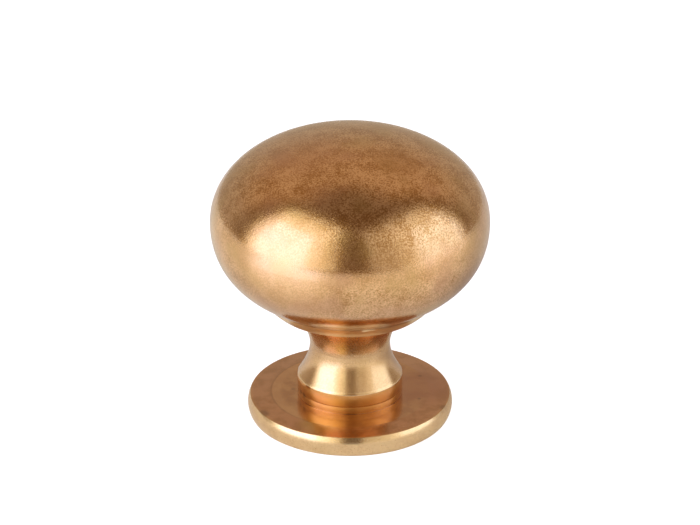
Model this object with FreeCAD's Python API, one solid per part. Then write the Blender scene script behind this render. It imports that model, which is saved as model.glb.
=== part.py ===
import FreeCAD, Part
import math
import os

# Cabinet knob, turned from one brass bar. Sizes are in millimetres.
# The origin is the centre of the flat back, where the rose meets the door,
# and +Z is the turning axis, out of the door.

# Lengths along the axis, stacked from the back to the crown
rose_thickness = 3.1
bead_height = 1.0
foot_band_height = 1.95
bell_height = 4.65
neck_height = 5.9
collar_height = 1.95
underside_height = 10.35
crown_height = 12.1

# Diameters
rose_diameter = 28.2
rose_flat_diameter = 21.8
foot_diameter = 14.4
neck_diameter = 11.0
lip_diameter = 21.2
head_diameter = 38.0

# Rose side, and the fall of the rose's top from its flat to its rim
rose_side_radius = 2.7
rose_widest_height = 1.6
rim_fall = 0.15

# How far the bead and the foot band swell, and the fine groove between them
bead_belly = 0.04
band_belly = 0.08
quirk_width = 0.12
quirk_depth = 0.05

# Fullness of the curves: how far each one runs straight on before it turns,
# as a share of the height or width that it crosses
crown_fullness = 0.575
shoulder_fullness = 0.59
underside_fullness = 0.629
bell_waist_run = 0.43
cove_waist_run = 0.29
cove_top_run = 0.59

# How steeply the bell rises from its edge, how far the underside turns from the
# collar's slope at the crease, and how far each runs on so
bell_edge_slope = math.radians(57.0)
bell_edge_run = 1.2
crease_turn = math.radians(14.6)
underside_end_run = 2.3

# Flat ring left between the cove and the lip, how far the collar opens out from
# the lip to the head, and how far its side swells
lip_land = 0.7
collar_flare = 1.8
collar_belly = 0.14

# Edge breaks, and the small hollow between the collar and the head
back_edge_break = 0.5
rim_break = 0.1
foot_arris_break = 0.4
lip_break = 0.35
crease_hollow = 0.35

# Fixing hole for an M4 screw, blind, entered from the back
screw_thread_diameter = 4.0
fixing_hole_depth = 14.0
hole_mouth_chamfer = 0.5
drill_point_angle = math.radians(118.0)

# Heights of the profile's corners, summed from the lengths
rose_top_z = rose_thickness
rim_z = rose_top_z - rim_fall
bead_top_z = rose_top_z + bead_height
foot_arris_z = bead_top_z + foot_band_height
waist_z = foot_arris_z + bell_height
lip_z = waist_z + neck_height
crease_z = lip_z + collar_height
widest_z = crease_z + underside_height
top_z = widest_z + crown_height

# Radii of the same corners
rose_radius = rose_diameter / 2
rose_flat_radius = rose_flat_diameter / 2
foot_radius = foot_diameter / 2
neck_radius = neck_diameter / 2
cove_end_radius = lip_diameter / 2 - lip_land
lip_radius = lip_diameter / 2
crease_radius = lip_radius + collar_flare
head_radius = head_diameter / 2
hole_radius = screw_thread_diameter / 2

# An edge closer than this to a corner of the profile is that corner's edge
same_place = 0.001


def at(radius, height):
    """A point of the turned profile."""
    return FreeCAD.Vector(radius, 0, height)


def line(start, end):
    return Part.LineSegment(start, end).toShape()


def arc(start, middle, end):
    return Part.Arc(start, middle, end).toShape()


def curve(*poles):
    """A smooth curve that leaves and meets its ends along its first and last legs."""
    bezier = Part.BezierCurve()
    bezier.setPoles(list(poles))
    return bezier.toShape()


def along(slope, run):
    """A step outwards and up, at a slope from the level."""
    return at(run * math.cos(slope), run * math.sin(slope))


def side_radius(height):
    """Radius of the rose's rounded side at a height."""
    rise = height - rose_widest_height
    return rose_radius - rose_side_radius + math.sqrt(rose_side_radius**2 - rise**2)


def swelling(bottom, top, belly):
    """A shallow round that stands out from the straight line half way up."""
    middle = (bottom + top) / 2 + at(belly, 0)
    return arc(bottom, middle, top)


def rose_edges():
    """The flat back, the rounded side, the sloping rim and the flat top of the rose."""
    back_edge = at(side_radius(0), 0)
    widest = at(rose_radius, rose_widest_height)
    rim = at(side_radius(rim_z), rim_z)
    flat_edge = at(rose_flat_radius, rose_top_z)
    return [
        line(at(0, 0), back_edge),
        arc(back_edge, widest, rim),
        line(rim, flat_edge),
        line(flat_edge, at(foot_radius, rose_top_z)),
    ]


def foot_edges():
    """The bead round the foot, the groove over it and the foot's band."""
    bead_top = at(foot_radius, bead_top_z)
    quirk_root = at(foot_radius - quirk_depth, bead_top_z)
    band_bottom = at(foot_radius, bead_top_z + quirk_width)
    return [
        swelling(at(foot_radius, rose_top_z), bead_top, bead_belly),
        line(bead_top, quirk_root),
        line(quirk_root, band_bottom),
        swelling(band_bottom, at(foot_radius, foot_arris_z), band_belly),
    ]


def neck_edges():
    """The bell, the waist and the cove that opens out under the collar."""
    arris = at(foot_radius, foot_arris_z)
    waist = at(neck_radius, waist_z)
    cove_end = at(cove_end_radius, lip_z)
    cove_reach = cove_top_run * (cove_end_radius - neck_radius)
    bell = curve(
        arris,
        arris + along(math.pi - bell_edge_slope, bell_edge_run),
        waist - at(0, bell_waist_run * bell_height),
        waist,
    )
    cove = curve(
        waist,
        waist + at(0, cove_waist_run * neck_height),
        cove_end - at(cove_reach, 0),
        cove_end,
    )
    return [bell, cove, line(cove_end, at(lip_radius, lip_z))]


def head_edges():
    """The collar's side, the head's underside and its crown."""
    lip = at(lip_radius, lip_z)
    crease = at(crease_radius, crease_z)
    widest = at(head_radius, widest_z)
    top = at(0, top_z)
    collar_slope = math.atan2(crease_z - lip_z, crease_radius - lip_radius)
    underside = curve(
        crease,
        crease + along(collar_slope - crease_turn, underside_end_run),
        widest - at(0, underside_fullness * underside_height),
        widest,
    )
    crown = curve(
        widest,
        widest + at(0, shoulder_fullness * crown_height),
        top + at(crown_fullness * head_radius, 0),
        top,
    )
    return [swelling(lip, crease, collar_belly), underside, crown]


def circles_at(solid, radius, height):
    """The round edges of a solid that lie at a radius and a height."""
    found = []
    for edge in solid.Edges:
        if edge.Degenerated or not isinstance(edge.Curve, Part.Circle):
            continue
        circle = edge.Curve
        if math.hypot(circle.Radius - radius, circle.Center.z - height) < same_place:
            found.append(edge)
    return found


def turned(profile):
    """A solid of revolution about the knob's axis."""
    return Part.Face(profile).revolve(at(0, 0), at(0, 1), 360)


def turned_body():
    """The whole knob as it leaves the lathe, with its edges broken."""
    axis = line(at(0, top_z), at(0, 0))
    profile = Part.Wire(rose_edges() + foot_edges() + neck_edges() + head_edges() + [axis])
    body = turned(profile)
    breaks = [
        (back_edge_break, side_radius(0), 0),
        (rim_break, side_radius(rim_z), rim_z),
        (foot_arris_break, foot_radius, foot_arris_z),
        (lip_break, lip_radius, lip_z),
        (crease_hollow, crease_radius, crease_z),
    ]
    for size, radius, height in breaks:
        body = body.makeFillet(size, circles_at(body, radius, height))
    return body


def fixing_hole():
    """Blind drilled hole with its drill point and a chamfered mouth."""
    point_length = hole_radius / math.tan(drill_point_angle / 2)
    outline = [
        at(0, 0),
        at(hole_radius + hole_mouth_chamfer, 0),
        at(hole_radius, hole_mouth_chamfer),
        at(hole_radius, fixing_hole_depth),
        at(0, fixing_hole_depth + point_length),
        at(0, 0),
    ]
    return turned(Part.makePolygon(outline))


os.makedirs("parts", exist_ok=True)
knob = turned_body().cut(fixing_hole())
knob.exportStep("parts/knob.step")
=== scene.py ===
import math

import bmesh
import bpy
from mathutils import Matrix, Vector


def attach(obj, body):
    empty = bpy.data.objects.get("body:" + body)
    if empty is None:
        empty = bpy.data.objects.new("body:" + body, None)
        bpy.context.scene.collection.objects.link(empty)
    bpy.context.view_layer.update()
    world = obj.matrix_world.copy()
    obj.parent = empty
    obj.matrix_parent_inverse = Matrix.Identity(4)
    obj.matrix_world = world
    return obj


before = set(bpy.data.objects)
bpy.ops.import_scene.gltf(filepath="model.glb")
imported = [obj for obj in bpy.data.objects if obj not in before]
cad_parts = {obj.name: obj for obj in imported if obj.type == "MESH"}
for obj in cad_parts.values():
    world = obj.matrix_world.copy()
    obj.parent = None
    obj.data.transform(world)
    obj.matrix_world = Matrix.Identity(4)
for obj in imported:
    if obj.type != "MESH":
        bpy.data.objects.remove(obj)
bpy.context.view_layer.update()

mm = 0.001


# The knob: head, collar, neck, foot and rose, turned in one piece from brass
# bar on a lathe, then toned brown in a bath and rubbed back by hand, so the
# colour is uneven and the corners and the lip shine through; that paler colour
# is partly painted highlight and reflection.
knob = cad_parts["knob"]

base_brown = (0.44, 0.215, 0.052, 1)
base_gold = (0.87, 0.59, 0.345, 1)
pink_tone = (0.60, 0.34, 0.21, 1)
olive_tone = (0.58, 0.375, 0.14, 1)
rose_brown = (0.46, 0.24, 0.12, 1)
orange_tone_and_reflection = (0.74, 0.345, 0.075, 1)
amber_reflection_tone = (0.70, 0.52, 0.15, 1)
dull_brown = (0.40, 0.17, 0.11, 1)
dark_marks_and_shade = (0.09, 0.045, 0.022, 1)
rubbed_brass_and_sheen = (0.96, 0.74, 0.43, 1)

aged_brass = bpy.data.materials.new("aged_brass_toned")
aged_brass.use_nodes = True
brass_tree = aged_brass.node_tree
brass_link = brass_tree.links.new
brass = brass_tree.nodes["Principled BSDF"]
brass.inputs["Metallic"].default_value = 1.0
brass.inputs["Coat Weight"].default_value = 0.8
brass.inputs["Coat Roughness"].default_value = 0.11
brass.inputs["Coat IOR"].default_value = 1.6


def node(tree, kind, **settings):
    """A new shader node with some of its settings given."""
    made = tree.nodes.new(kind)
    for name, value in settings.items():
        setattr(made, name, value)
    return made


def noise(tree, place, scale, detail, roughness=0.5):
    """A soft cloud pattern in the metal; its cells are 1/scale metres wide."""
    made = node(tree, "ShaderNodeTexNoise")
    made.inputs["Scale"].default_value = scale
    made.inputs["Detail"].default_value = detail
    made.inputs["Roughness"].default_value = roughness
    tree.links.new(place, made.inputs["Vector"])
    return made.outputs["Fac"]


def spread(tree, value, low, high, low_out=0.0, high_out=1.0):
    """Stretches the part of a value between low and high over a new range."""
    made = node(tree, "ShaderNodeMapRange", interpolation_type="SMOOTHSTEP")
    made.inputs["From Min"].default_value = low
    made.inputs["From Max"].default_value = high
    made.inputs["To Min"].default_value = low_out
    made.inputs["To Max"].default_value = high_out
    tree.links.new(value, made.inputs["Value"])
    return made.outputs["Result"]


def blend_colour(tree, share, first, second):
    """Mixes two colours; each is a colour value or another node's output."""
    made = node(tree, "ShaderNodeMix", data_type="RGBA")
    tree.links.new(share, made.inputs["Factor"])
    for socket, colour in ((made.inputs[6], first), (made.inputs[7], second)):
        if isinstance(colour, tuple):
            socket.default_value = colour
        else:
            tree.links.new(colour, socket)
    return made.outputs[2]


def combine(tree, how, first, second):
    """One sum, product or other arithmetic of two values."""
    made = node(tree, "ShaderNodeMath", operation=how)
    for socket, value in ((made.inputs[0], first), (made.inputs[1], second)):
        if isinstance(value, (int, float)):
            socket.default_value = value
        else:
            tree.links.new(value, socket)
    return made.outputs[0]


# The mottle: fine grain over soft clouds, strongest on the crown and the head's
# underside, and evened out on the left of the front as painted highlight, where
# the left lamp's highlight falls.
place = node(brass_tree, "ShaderNodeTexCoord").outputs["Object"]
split = node(brass_tree, "ShaderNodeSeparateXYZ")
brass_link(place, split.inputs[0])
height = split.outputs["Z"]

head_start = 17.5 * mm
grain = noise(brass_tree, place, 4800, 3, 0.65)
clouds = noise(brass_tree, place, 420, 3, 0.6)
tone = noise(brass_tree, place, 160, 2)

fine_share = combine(brass_tree, "MULTIPLY", grain, 0.7)
cloudy_share = combine(brass_tree, "MULTIPLY", clouds, 0.3)
mottle = combine(brass_tree, "ADD", fine_share, cloudy_share)
mottle = spread(brass_tree, mottle, 0.37, 0.63)
on_head = spread(brass_tree, height, head_start, head_start + 3 * mm, 0.25, 1.0)
to_crown = spread(brass_tree, height, 30 * mm, 37 * mm, 0.58, 1.55)
to_underside = spread(brass_tree, height, 29.5 * mm, 27 * mm, 1.0, 1.65)
# Painted highlight: the mottle is evened out round the point where the left lamp's highlight falls.
from_left_highlight = node(brass_tree, "ShaderNodeVectorMath", operation="DISTANCE")
brass_link(place, from_left_highlight.inputs[0])
from_left_highlight.inputs[1].default_value = (-9.2 * mm, -15.5 * mm, 31 * mm)
left_highlight_evenness = spread(brass_tree, from_left_highlight.outputs["Value"], 5 * mm, 11 * mm, 0.35, 1.0)
contrast = combine(brass_tree, "MULTIPLY", on_head, to_crown)
contrast = combine(brass_tree, "MULTIPLY", contrast, to_underside)
contrast = combine(brass_tree, "MULTIPLY", contrast, left_highlight_evenness)
mottle = combine(brass_tree, "SUBTRACT", mottle, 0.5)
mottle = combine(brass_tree, "MULTIPLY", mottle, contrast)
mottle = combine(brass_tree, "ADD", mottle, 0.5)
colour = blend_colour(brass_tree, mottle, base_brown, base_gold)
pinker = spread(brass_tree, tone, 0.52, 0.72, 0.0, 0.5)
colour = blend_colour(brass_tree, pinker, colour, pink_tone)
greener = spread(brass_tree, tone, 0.48, 0.30, 0.0, 0.5)
colour = blend_colour(brass_tree, greener, colour, olive_tone)


def ring(low, high, fade, strength):
    """A ring round the knob between two heights, with faded edges."""
    over = spread(brass_tree, height, low - fade, low)
    under = spread(brass_tree, height, high + fade, high, 0.0, strength)
    return combine(brass_tree, "MULTIPLY", over, under)


# The rose's top is toned darker, and pinker outside a faint line from the lathe.
# On the left only, where the left lamp lights it, a paler band inside that line is
# painted sheen and the line's darkness is painted shade.
level_place = node(brass_tree, "ShaderNodeVectorMath", operation="MULTIPLY")
brass_link(place, level_place.inputs[0])
level_place.inputs[1].default_value = (1, 1, 0)
from_axis = node(brass_tree, "ShaderNodeVectorMath", operation="LENGTH")
brass_link(level_place.outputs[0], from_axis.inputs[0])
radius_out = from_axis.outputs["Value"]
outer_zone = spread(brass_tree, radius_out, 10.7 * mm, 11.0 * mm, 0.55, 1.0)
rose_colour = blend_colour(brass_tree, outer_zone, olive_tone, pink_tone)
patches = spread(brass_tree, clouds, 0.36, 0.60)
rose_colour = blend_colour(brass_tree, patches, rose_brown, rose_colour)
# Painted light on the lit left side only: the paler band is painted sheen.
left_lit_share = spread(brass_tree, split.outputs["X"], 1 * mm, -7 * mm, 0.1, 1.0)
band_inside = spread(brass_tree, radius_out, 8.9 * mm, 10.0 * mm)
band_outside = spread(brass_tree, radius_out, 10.85 * mm, 10.65 * mm, 0.0, 0.35)
painted_sheen_band = combine(brass_tree, "MULTIPLY", band_inside, band_outside)
painted_sheen_band = combine(brass_tree, "MULTIPLY", painted_sheen_band, left_lit_share)
rose_colour = blend_colour(brass_tree, painted_sheen_band, rose_colour, base_gold)
# The lathe line, darkened on the left only as painted shade.
line_inside = spread(brass_tree, radius_out, 10.75 * mm, 10.85 * mm)
line_outside = spread(brass_tree, radius_out, 11.05 * mm, 10.95 * mm, 0.0, 0.2)
lathe_line_and_shade = combine(brass_tree, "MULTIPLY", line_inside, line_outside)
lathe_line_and_shade = combine(brass_tree, "MULTIPLY", lathe_line_and_shade, left_lit_share)
rose_colour = blend_colour(brass_tree, lathe_line_and_shade, rose_colour, dark_marks_and_shade)
rose_top = ring(2.96 * mm, 3.12 * mm, 0.03 * mm, 0.8)
colour = blend_colour(brass_tree, rose_top, colour, rose_colour)

# The foot and the neck close under the collar are orange: partly the toning kept
# there, partly a painted reflection of the brass round them.
orange_and_reflection_rings = [
    ring(3.2 * mm, 5.85 * mm, 0.1 * mm, 0.85),
    ring(14.6 * mm, 16.5 * mm, 1.2 * mm, 0.95),
]
for orange_and_reflection_ring in orange_and_reflection_rings:
    colour = blend_colour(brass_tree, orange_and_reflection_ring, colour, orange_tone_and_reflection)

# Paler rings, partly rubbed wear and partly painted highlight and reflection: the
# rose's side, the foot's top corner, the bell, the collar and its lip.
uneven_share = spread(brass_tree, clouds, 0.35, 0.6, 0.75, 1.0)
flecks = spread(brass_tree, grain, 0.38, 0.62, 0.78, 1.0)
uneven_share = combine(brass_tree, "MULTIPLY", uneven_share, flecks)
rubbed_and_sheen_rings = [
    ring(-1.0 * mm, 2.9 * mm, 0.08 * mm, 0.84),
    ring(5.95 * mm, 6.25 * mm, 0.1 * mm, 0.5),
    ring(6.4 * mm, 13.0 * mm, 0.8 * mm, 0.38),
    ring(16.6 * mm, 18.4 * mm, 0.15 * mm, 1.12),
]
for rubbed_and_sheen_ring in rubbed_and_sheen_rings:
    rubbed_and_sheen_share = combine(brass_tree, "MULTIPLY", uneven_share, rubbed_and_sheen_ring)
    colour = blend_colour(brass_tree, rubbed_and_sheen_share, colour, rubbed_brass_and_sheen)

# Dark lines, partly dirt and partly painted shade: in the groove over the bead,
# and close under the head.
dirt_and_shade_rings = [
    ring(4.10 * mm, 4.20 * mm, 0.05 * mm, 0.2),
    ring(18.5 * mm, 18.75 * mm, 0.2 * mm, 0.35),
]
unevenly = spread(brass_tree, clouds, 0.65, 0.4, 0.4, 1.0)
for dirt_and_shade_ring in dirt_and_shade_rings:
    dirt_and_shade = combine(brass_tree, "MULTIPLY", unevenly, dirt_and_shade_ring)
    colour = blend_colour(brass_tree, dirt_and_shade, colour, dark_marks_and_shade)


def spot(x, y, z, across, strength):
    """A small round mark about one point of the surface, in millimetres."""
    away = node(brass_tree, "ShaderNodeVectorMath", operation="DISTANCE")
    brass_link(place, away.inputs[0])
    away.inputs[1].default_value = (x * mm, y * mm, z * mm)
    return spread(brass_tree, away.outputs["Value"], across * mm, 0.3 * across * mm, 0.0, strength)


# The rose's top has a painted amber reflection in front of the foot, on the left,
# and is duller on the right.
amber_reflection_patch = combine(brass_tree, "MULTIPLY", spot(-3.8, -10.0, 3.1, 4.0, 0.7), rose_top)
colour = blend_colour(brass_tree, amber_reflection_patch, colour, amber_reflection_tone)
dull_patch = combine(brass_tree, "MULTIPLY", spot(9.5, 1.2, 3.1, 7.5, 0.7), rose_top)
colour = blend_colour(brass_tree, dull_patch, colour, dull_brown)

# Single marks: blotches in the groove and by the foot's left, two pits in the
# rose's top, and dark patches along its rim.
spots = [
    spot(-6.3, -3.5, 4.15, 0.6, 0.5),
    spot(-6.75, -2.5, 4.1, 0.5, 0.4),
    spot(-7.8, 0.3, 3.1, 0.5, 0.3),
    spot(9.7, 4.2, 3.1, 0.4, 0.45),
    spot(9.5, -2.6, 3.1, 0.35, 0.45),
]
rim_low = ring(2.2 * mm, 2.85 * mm, 0.2 * mm, 1.0)
rim_line = ring(2.86 * mm, 3.0 * mm, 0.05 * mm, 1.0)
rim_patches = [
    (spot(0.3, -13.9, 2.6, 1.9, 0.5), rim_low),
    (spot(-12.0, -6.7, 2.9, 1.4, 0.5), rim_line),
    (spot(13.0, -4.9, 2.9, 1.0, 0.4), rim_line),
]
for patch, along_rim in rim_patches:
    spots.append(combine(brass_tree, "MULTIPLY", patch, along_rim))
for mark in spots:
    colour = blend_colour(brass_tree, mark, colour, dark_marks_and_shade)

# Two large weak patches on the crown.
pink_on_crown = spot(-6.4, -2.0, 40.3, 8.0, 0.35)
colour = blend_colour(brass_tree, pink_on_crown, colour, pink_tone)
brown_on_crown = spot(6.5, -4.8, 40.0, 4.5, 0.4)
colour = blend_colour(brass_tree, brown_on_crown, colour, base_brown)
brass_link(colour, brass.inputs["Base Color"])

# The polish: best on the head, duller on the rose's side, the foot and the neck.
satin = spread(brass_tree, height, head_start, head_start + 3 * mm, 0.19, 0.10)
duller_rings = [
    ring(-1.0 * mm, 2.9 * mm, 0.1 * mm, 0.07),
    ring(3.25 * mm, 5.8 * mm, 0.1 * mm, 0.17),
    ring(6.2 * mm, 10.5 * mm, 0.3 * mm, 0.06),
    ring(11.0 * mm, 16.4 * mm, 1.5 * mm, 0.08),
    ring(16.5 * mm, 18.5 * mm, 0.15 * mm, 0.15),
]
for duller_ring in duller_rings:
    satin = combine(brass_tree, "ADD", satin, duller_ring)
satin_grain = spread(brass_tree, grain, 0.35, 0.65, 0.015, -0.015)
satin = combine(brass_tree, "ADD", satin, satin_grain)
brass_link(satin, brass.inputs["Roughness"])

# A fine frosting in the surface, deeper on the head.
frosting = noise(brass_tree, place, 5200, 3, 0.7)
frosted = node(brass_tree, "ShaderNodeBump")
brass_link(frosting, frosted.inputs["Height"])
frost_depth = spread(brass_tree, height, head_start, head_start + 3 * mm, 0.007 * mm, 0.019 * mm)
brass_link(frost_depth, frosted.inputs["Distance"])
brass_link(frosted.outputs[0], brass.inputs["Normal"])

knob.data.materials.clear()
knob.data.materials.append(aged_brass)


# The thread in the fixing hole: M4 at a pitch of 0.7 mm, cut with a tap in
# the drilled hole in the back. The bore is the thread's widest diameter, and
# the ridge between its grooves stands inwards from it.
thread_radius = 2.0 * mm
thread_pitch = 0.7 * mm
thread_depth = 0.38 * mm
thread_start = 0.6 * mm
thread_end = 12.2 * mm
steps_a_turn = 48

# The ridge's section: its two feet on the bore's wall and its crest, with their
# places along the axis as shares of the pitch.
foot_reach = 0.44
crest_reach = 0.07

thread_mesh = bmesh.new()
step_count = int((thread_end - thread_start) / thread_pitch * steps_a_turn)
ridge_rows = []
for step in range(step_count + 1):
    turn = 2 * math.pi * step / steps_a_turn
    rise = thread_start + thread_pitch * step / steps_a_turn
    taper = min(1.0, step / steps_a_turn, (step_count - step) / steps_a_turn)
    crest = thread_radius - thread_depth * taper
    section = [
        (thread_radius, -foot_reach),
        (crest, -crest_reach),
        (crest, crest_reach),
        (thread_radius, foot_reach),
    ]
    row = []
    for radius, lift in section:
        point = (radius * math.cos(turn), radius * math.sin(turn), rise + lift * thread_pitch)
        row.append(thread_mesh.verts.new(point))
    ridge_rows.append(row)
for first, second in zip(ridge_rows, ridge_rows[1:]):
    for side in range(3):
        thread_mesh.faces.new((first[side], first[side + 1], second[side + 1], second[side]))
bmesh.ops.recalc_face_normals(thread_mesh, faces=thread_mesh.faces)
thread_data = bpy.data.meshes.new("fixing_thread")
thread_mesh.to_mesh(thread_data)
thread_mesh.free()
thread = bpy.data.objects.new("fixing_thread", thread_data)
bpy.context.scene.collection.objects.link(thread)
thread.data.materials.append(aged_brass)
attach(thread, "root")


# The table: a plain white sheet round the foot of the knob. It looks white to
# the camera, glows towards the two soft boxes in the metal, takes the knob's
# shadow, and can be seen through from below.
sheet_side = 400 * mm
sheet_front = -175 * mm
sheet_back = 165 * mm
sheet_height = 0.02 * mm
sheet_corners = [
    (-sheet_side, sheet_front, sheet_height),
    (sheet_side, sheet_front, sheet_height),
    (sheet_side, sheet_back, sheet_height),
    (-sheet_side, sheet_back, sheet_height),
]
sheet_data = bpy.data.meshes.new("white_sheet")
sheet_data.from_pydata(sheet_corners, [], [(0, 1, 2, 3)])
sheet = bpy.data.objects.new("white_sheet", sheet_data)
bpy.context.scene.collection.objects.link(sheet)

white_paper = bpy.data.materials.new("white_paper")
white_paper.use_nodes = True
paper_tree = white_paper.node_tree
paper_link = paper_tree.links.new
paper_tree.nodes.remove(paper_tree.nodes["Principled BSDF"])
paper = node(paper_tree, "ShaderNodeBsdfDiffuse")
paper.inputs["Color"].default_value = (0.8, 0.82, 0.88, 1)
lit_white = node(paper_tree, "ShaderNodeEmission")
seen_by = node(paper_tree, "ShaderNodeLightPath")
paper_place = node(paper_tree, "ShaderNodeTexCoord").outputs["Object"]
paper_away = node(paper_tree, "ShaderNodeVectorMath", operation="LENGTH")
paper_link(paper_place, paper_away.inputs[0])
from_knob = paper_away.outputs["Value"]
paper_way = node(paper_tree, "ShaderNodeVectorMath", operation="NORMALIZE")
paper_link(paper_place, paper_way.inputs[0])


def glow_towards(azimuth, wide, full, starts, ends, strength):
    """Extra light on the sheet on one side of the knob, rising with distance."""
    turn = math.radians(azimuth)
    facing = node(paper_tree, "ShaderNodeVectorMath", operation="DOT_PRODUCT")
    paper_link(paper_way.outputs[0], facing.inputs[0])
    facing.inputs[1].default_value = (math.sin(turn), -math.cos(turn), 0)
    off_edge = math.cos(math.radians(wide))
    off_middle = math.cos(math.radians(full))
    aside = spread(paper_tree, facing.outputs["Value"], off_edge, off_middle)
    outward = spread(paper_tree, from_knob, starts * mm, ends * mm, 0.0, strength)
    return combine(paper_tree, "MULTIPLY", aside, outward)


open_sheet = spread(paper_tree, from_knob, 14 * mm, 70 * mm, 0.13, 0.34)
in_shadow = glow_towards(150, 95, 30, 10, 40, -0.26)
open_sheet = combine(paper_tree, "ADD", open_sheet, in_shadow)
by_left_box = glow_towards(-50, 39, 2, 8, 115, 1.22)
by_right_box = glow_towards(78, 36, 8, 25, 190, 0.6)
by_boxes = combine(paper_tree, "ADD", by_left_box, by_right_box)
in_metal = combine(paper_tree, "ADD", open_sheet, by_boxes)
in_metal = combine(paper_tree, "MULTIPLY", in_metal, seen_by.outputs["Is Glossy Ray"])
in_view = combine(paper_tree, "MULTIPLY", seen_by.outputs["Is Camera Ray"], 0.86)
glow_strength = combine(paper_tree, "ADD", in_metal, in_view)
paper_link(glow_strength, lit_white.inputs["Strength"])
box_light = combine(paper_tree, "MULTIPLY", by_boxes, seen_by.outputs["Is Glossy Ray"])
warm_glow = (1, 0.92, 0.56, 1)
cool_glow = (0.87, 0.93, 1.22, 1)
white_in_view = (0.93, 0.96, 1.05, 1)
paper_glow = blend_colour(paper_tree, box_light, warm_glow, cool_glow)
paper_glow = blend_colour(paper_tree, seen_by.outputs["Is Camera Ray"], paper_glow, white_in_view)
paper_link(paper_glow, lit_white.inputs["Color"])
both = node(paper_tree, "ShaderNodeAddShader")
paper_link(paper.outputs[0], both.inputs[0])
paper_link(lit_white.outputs[0], both.inputs[1])
sheet_sides = node(paper_tree, "ShaderNodeNewGeometry")
clear = node(paper_tree, "ShaderNodeBsdfTransparent")
from_above = node(paper_tree, "ShaderNodeMixShader")
paper_link(sheet_sides.outputs["Backfacing"], from_above.inputs[0])
paper_link(both.outputs[0], from_above.inputs[1])
paper_link(clear.outputs[0], from_above.inputs[2])
paper_link(from_above.outputs[0], paper_tree.nodes["Material Output"].inputs["Surface"])
sheet.data.materials.append(white_paper)


# The room: dim and warm overhead and in front, a paler wall behind the knob,
# and plain white where the camera looks past the sheet.
room = bpy.data.worlds.new("studio_room")
bpy.context.scene.world = room
room.use_nodes = True
room_tree = room.node_tree
room_link = room_tree.links.new
toward = node(room_tree, "ShaderNodeTexCoord").outputs["Generated"]
toward_parts = node(room_tree, "ShaderNodeSeparateXYZ")
room_link(toward, toward_parts.inputs[0])
level_part = node(room_tree, "ShaderNodeVectorMath", operation="MULTIPLY")
room_link(toward, level_part.inputs[0])
level_part.inputs[1].default_value = (1, 1, 0)
level_way = node(room_tree, "ShaderNodeVectorMath", operation="NORMALIZE")
room_link(level_part.outputs[0], level_way.inputs[0])
wall_middle = math.radians(185)
facing_wall = node(room_tree, "ShaderNodeVectorMath", operation="DOT_PRODUCT")
room_link(level_way.outputs[0], facing_wall.inputs[0])
facing_wall.inputs[1].default_value = (math.sin(wall_middle), -math.cos(wall_middle), 0)
wall = spread(room_tree, facing_wall.outputs["Value"], 0.20, 0.58)
below_top = spread(room_tree, toward_parts.outputs["Z"], 0.985, 0.90)
wall = combine(room_tree, "MULTIPLY", wall, below_top)
wall_low = (0.47, 0.365, 0.26, 1)
wall_high = (0.53, 0.35, 0.21, 1)
dim_room = (0.245, 0.16, 0.098, 1)
up_wall = spread(room_tree, toward_parts.outputs["Z"], 0.2, 0.7)
wall_colour = blend_colour(room_tree, up_wall, wall_low, wall_high)
room_colour = blend_colour(room_tree, wall, dim_room, wall_colour)
room_seen_by = node(room_tree, "ShaderNodeLightPath")
room_colour = blend_colour(room_tree, room_seen_by.outputs["Is Camera Ray"], room_colour, (1, 1, 1, 1))
room_link(room_colour, room_tree.nodes["Background"].inputs["Color"])


# The lamps: a large soft box to the left of the camera and a weaker one to the
# right, each with brighter and cooler panels inside. The dark stem on the head's
# front is the gap between them.
knob_middle = Vector((0, 0, 26 * mm))


def soft_box(name, azimuth, half_width, low, high, brightness, colour, away=0.7):
    """An upright area lamp that faces the knob, between two elevations seen from it."""
    turn = math.radians(azimuth)
    outward = Vector((math.sin(turn), -math.cos(turn), 0))
    bottom = away * math.tan(math.radians(low))
    top = away * math.tan(math.radians(high))
    lamp = bpy.data.lights.new(name, "AREA")
    lamp.shape = "RECTANGLE"
    lamp.size = 2 * away * math.tan(math.radians(half_width))
    lamp.size_y = top - bottom
    lamp.energy = brightness * math.pi * lamp.size * lamp.size_y
    lamp.color = colour
    stand = bpy.data.objects.new(name, lamp)
    stand.location = knob_middle + outward * away + Vector((0, 0, (bottom + top) / 2))
    stand.rotation_euler = outward.to_track_quat("Z", "Y").to_euler()
    bpy.context.scene.collection.objects.link(stand)


soft_box("left_box", -51.5, 40.5, -7.5, 66, 0.95, (1.0, 0.96, 0.72))
soft_box("left_inner", -56, 32, -7.5, 57, 0.45, (0.9, 0.94, 1.1))
soft_box("left_middle", -59, 23, -7.5, 46, 0.8, (0.76, 0.93, 1.8))
soft_box("right_box", 59.5, 44.5, -7.5, 60, 0.45, (1.0, 0.94, 0.74))
soft_box("right_inner", 72, 31, -7.5, 51, 0.31, (1.0, 0.96, 0.82))
soft_box("right_middle", 79, 22, -7.5, 42, 0.6, (0.78, 1.0, 1.34))


# The camera looks down on the knob by 26 degrees from 620 mm away.
look_down = math.radians(26.0)
camera_away = 620 * mm
aim = Vector((0, 0, 22.65 * mm))
pixels_a_mm = 7.35
image_width = 700
sensor_width = 36.0

camera_data = bpy.data.cameras.new("camera")
camera_data.sensor_width = sensor_width
camera_data.lens = pixels_a_mm * camera_away / mm / image_width * sensor_width
camera = bpy.data.objects.new("camera", camera_data)
bpy.context.scene.collection.objects.link(camera)
to_camera = Vector((0, -math.cos(look_down), math.sin(look_down)))
camera.location = aim + to_camera * camera_away
camera.rotation_euler = to_camera.to_track_quat("Z", "Y").to_euler()
bpy.context.scene.camera = camera
bpy.context.scene.view_settings.view_transform = "Standard"
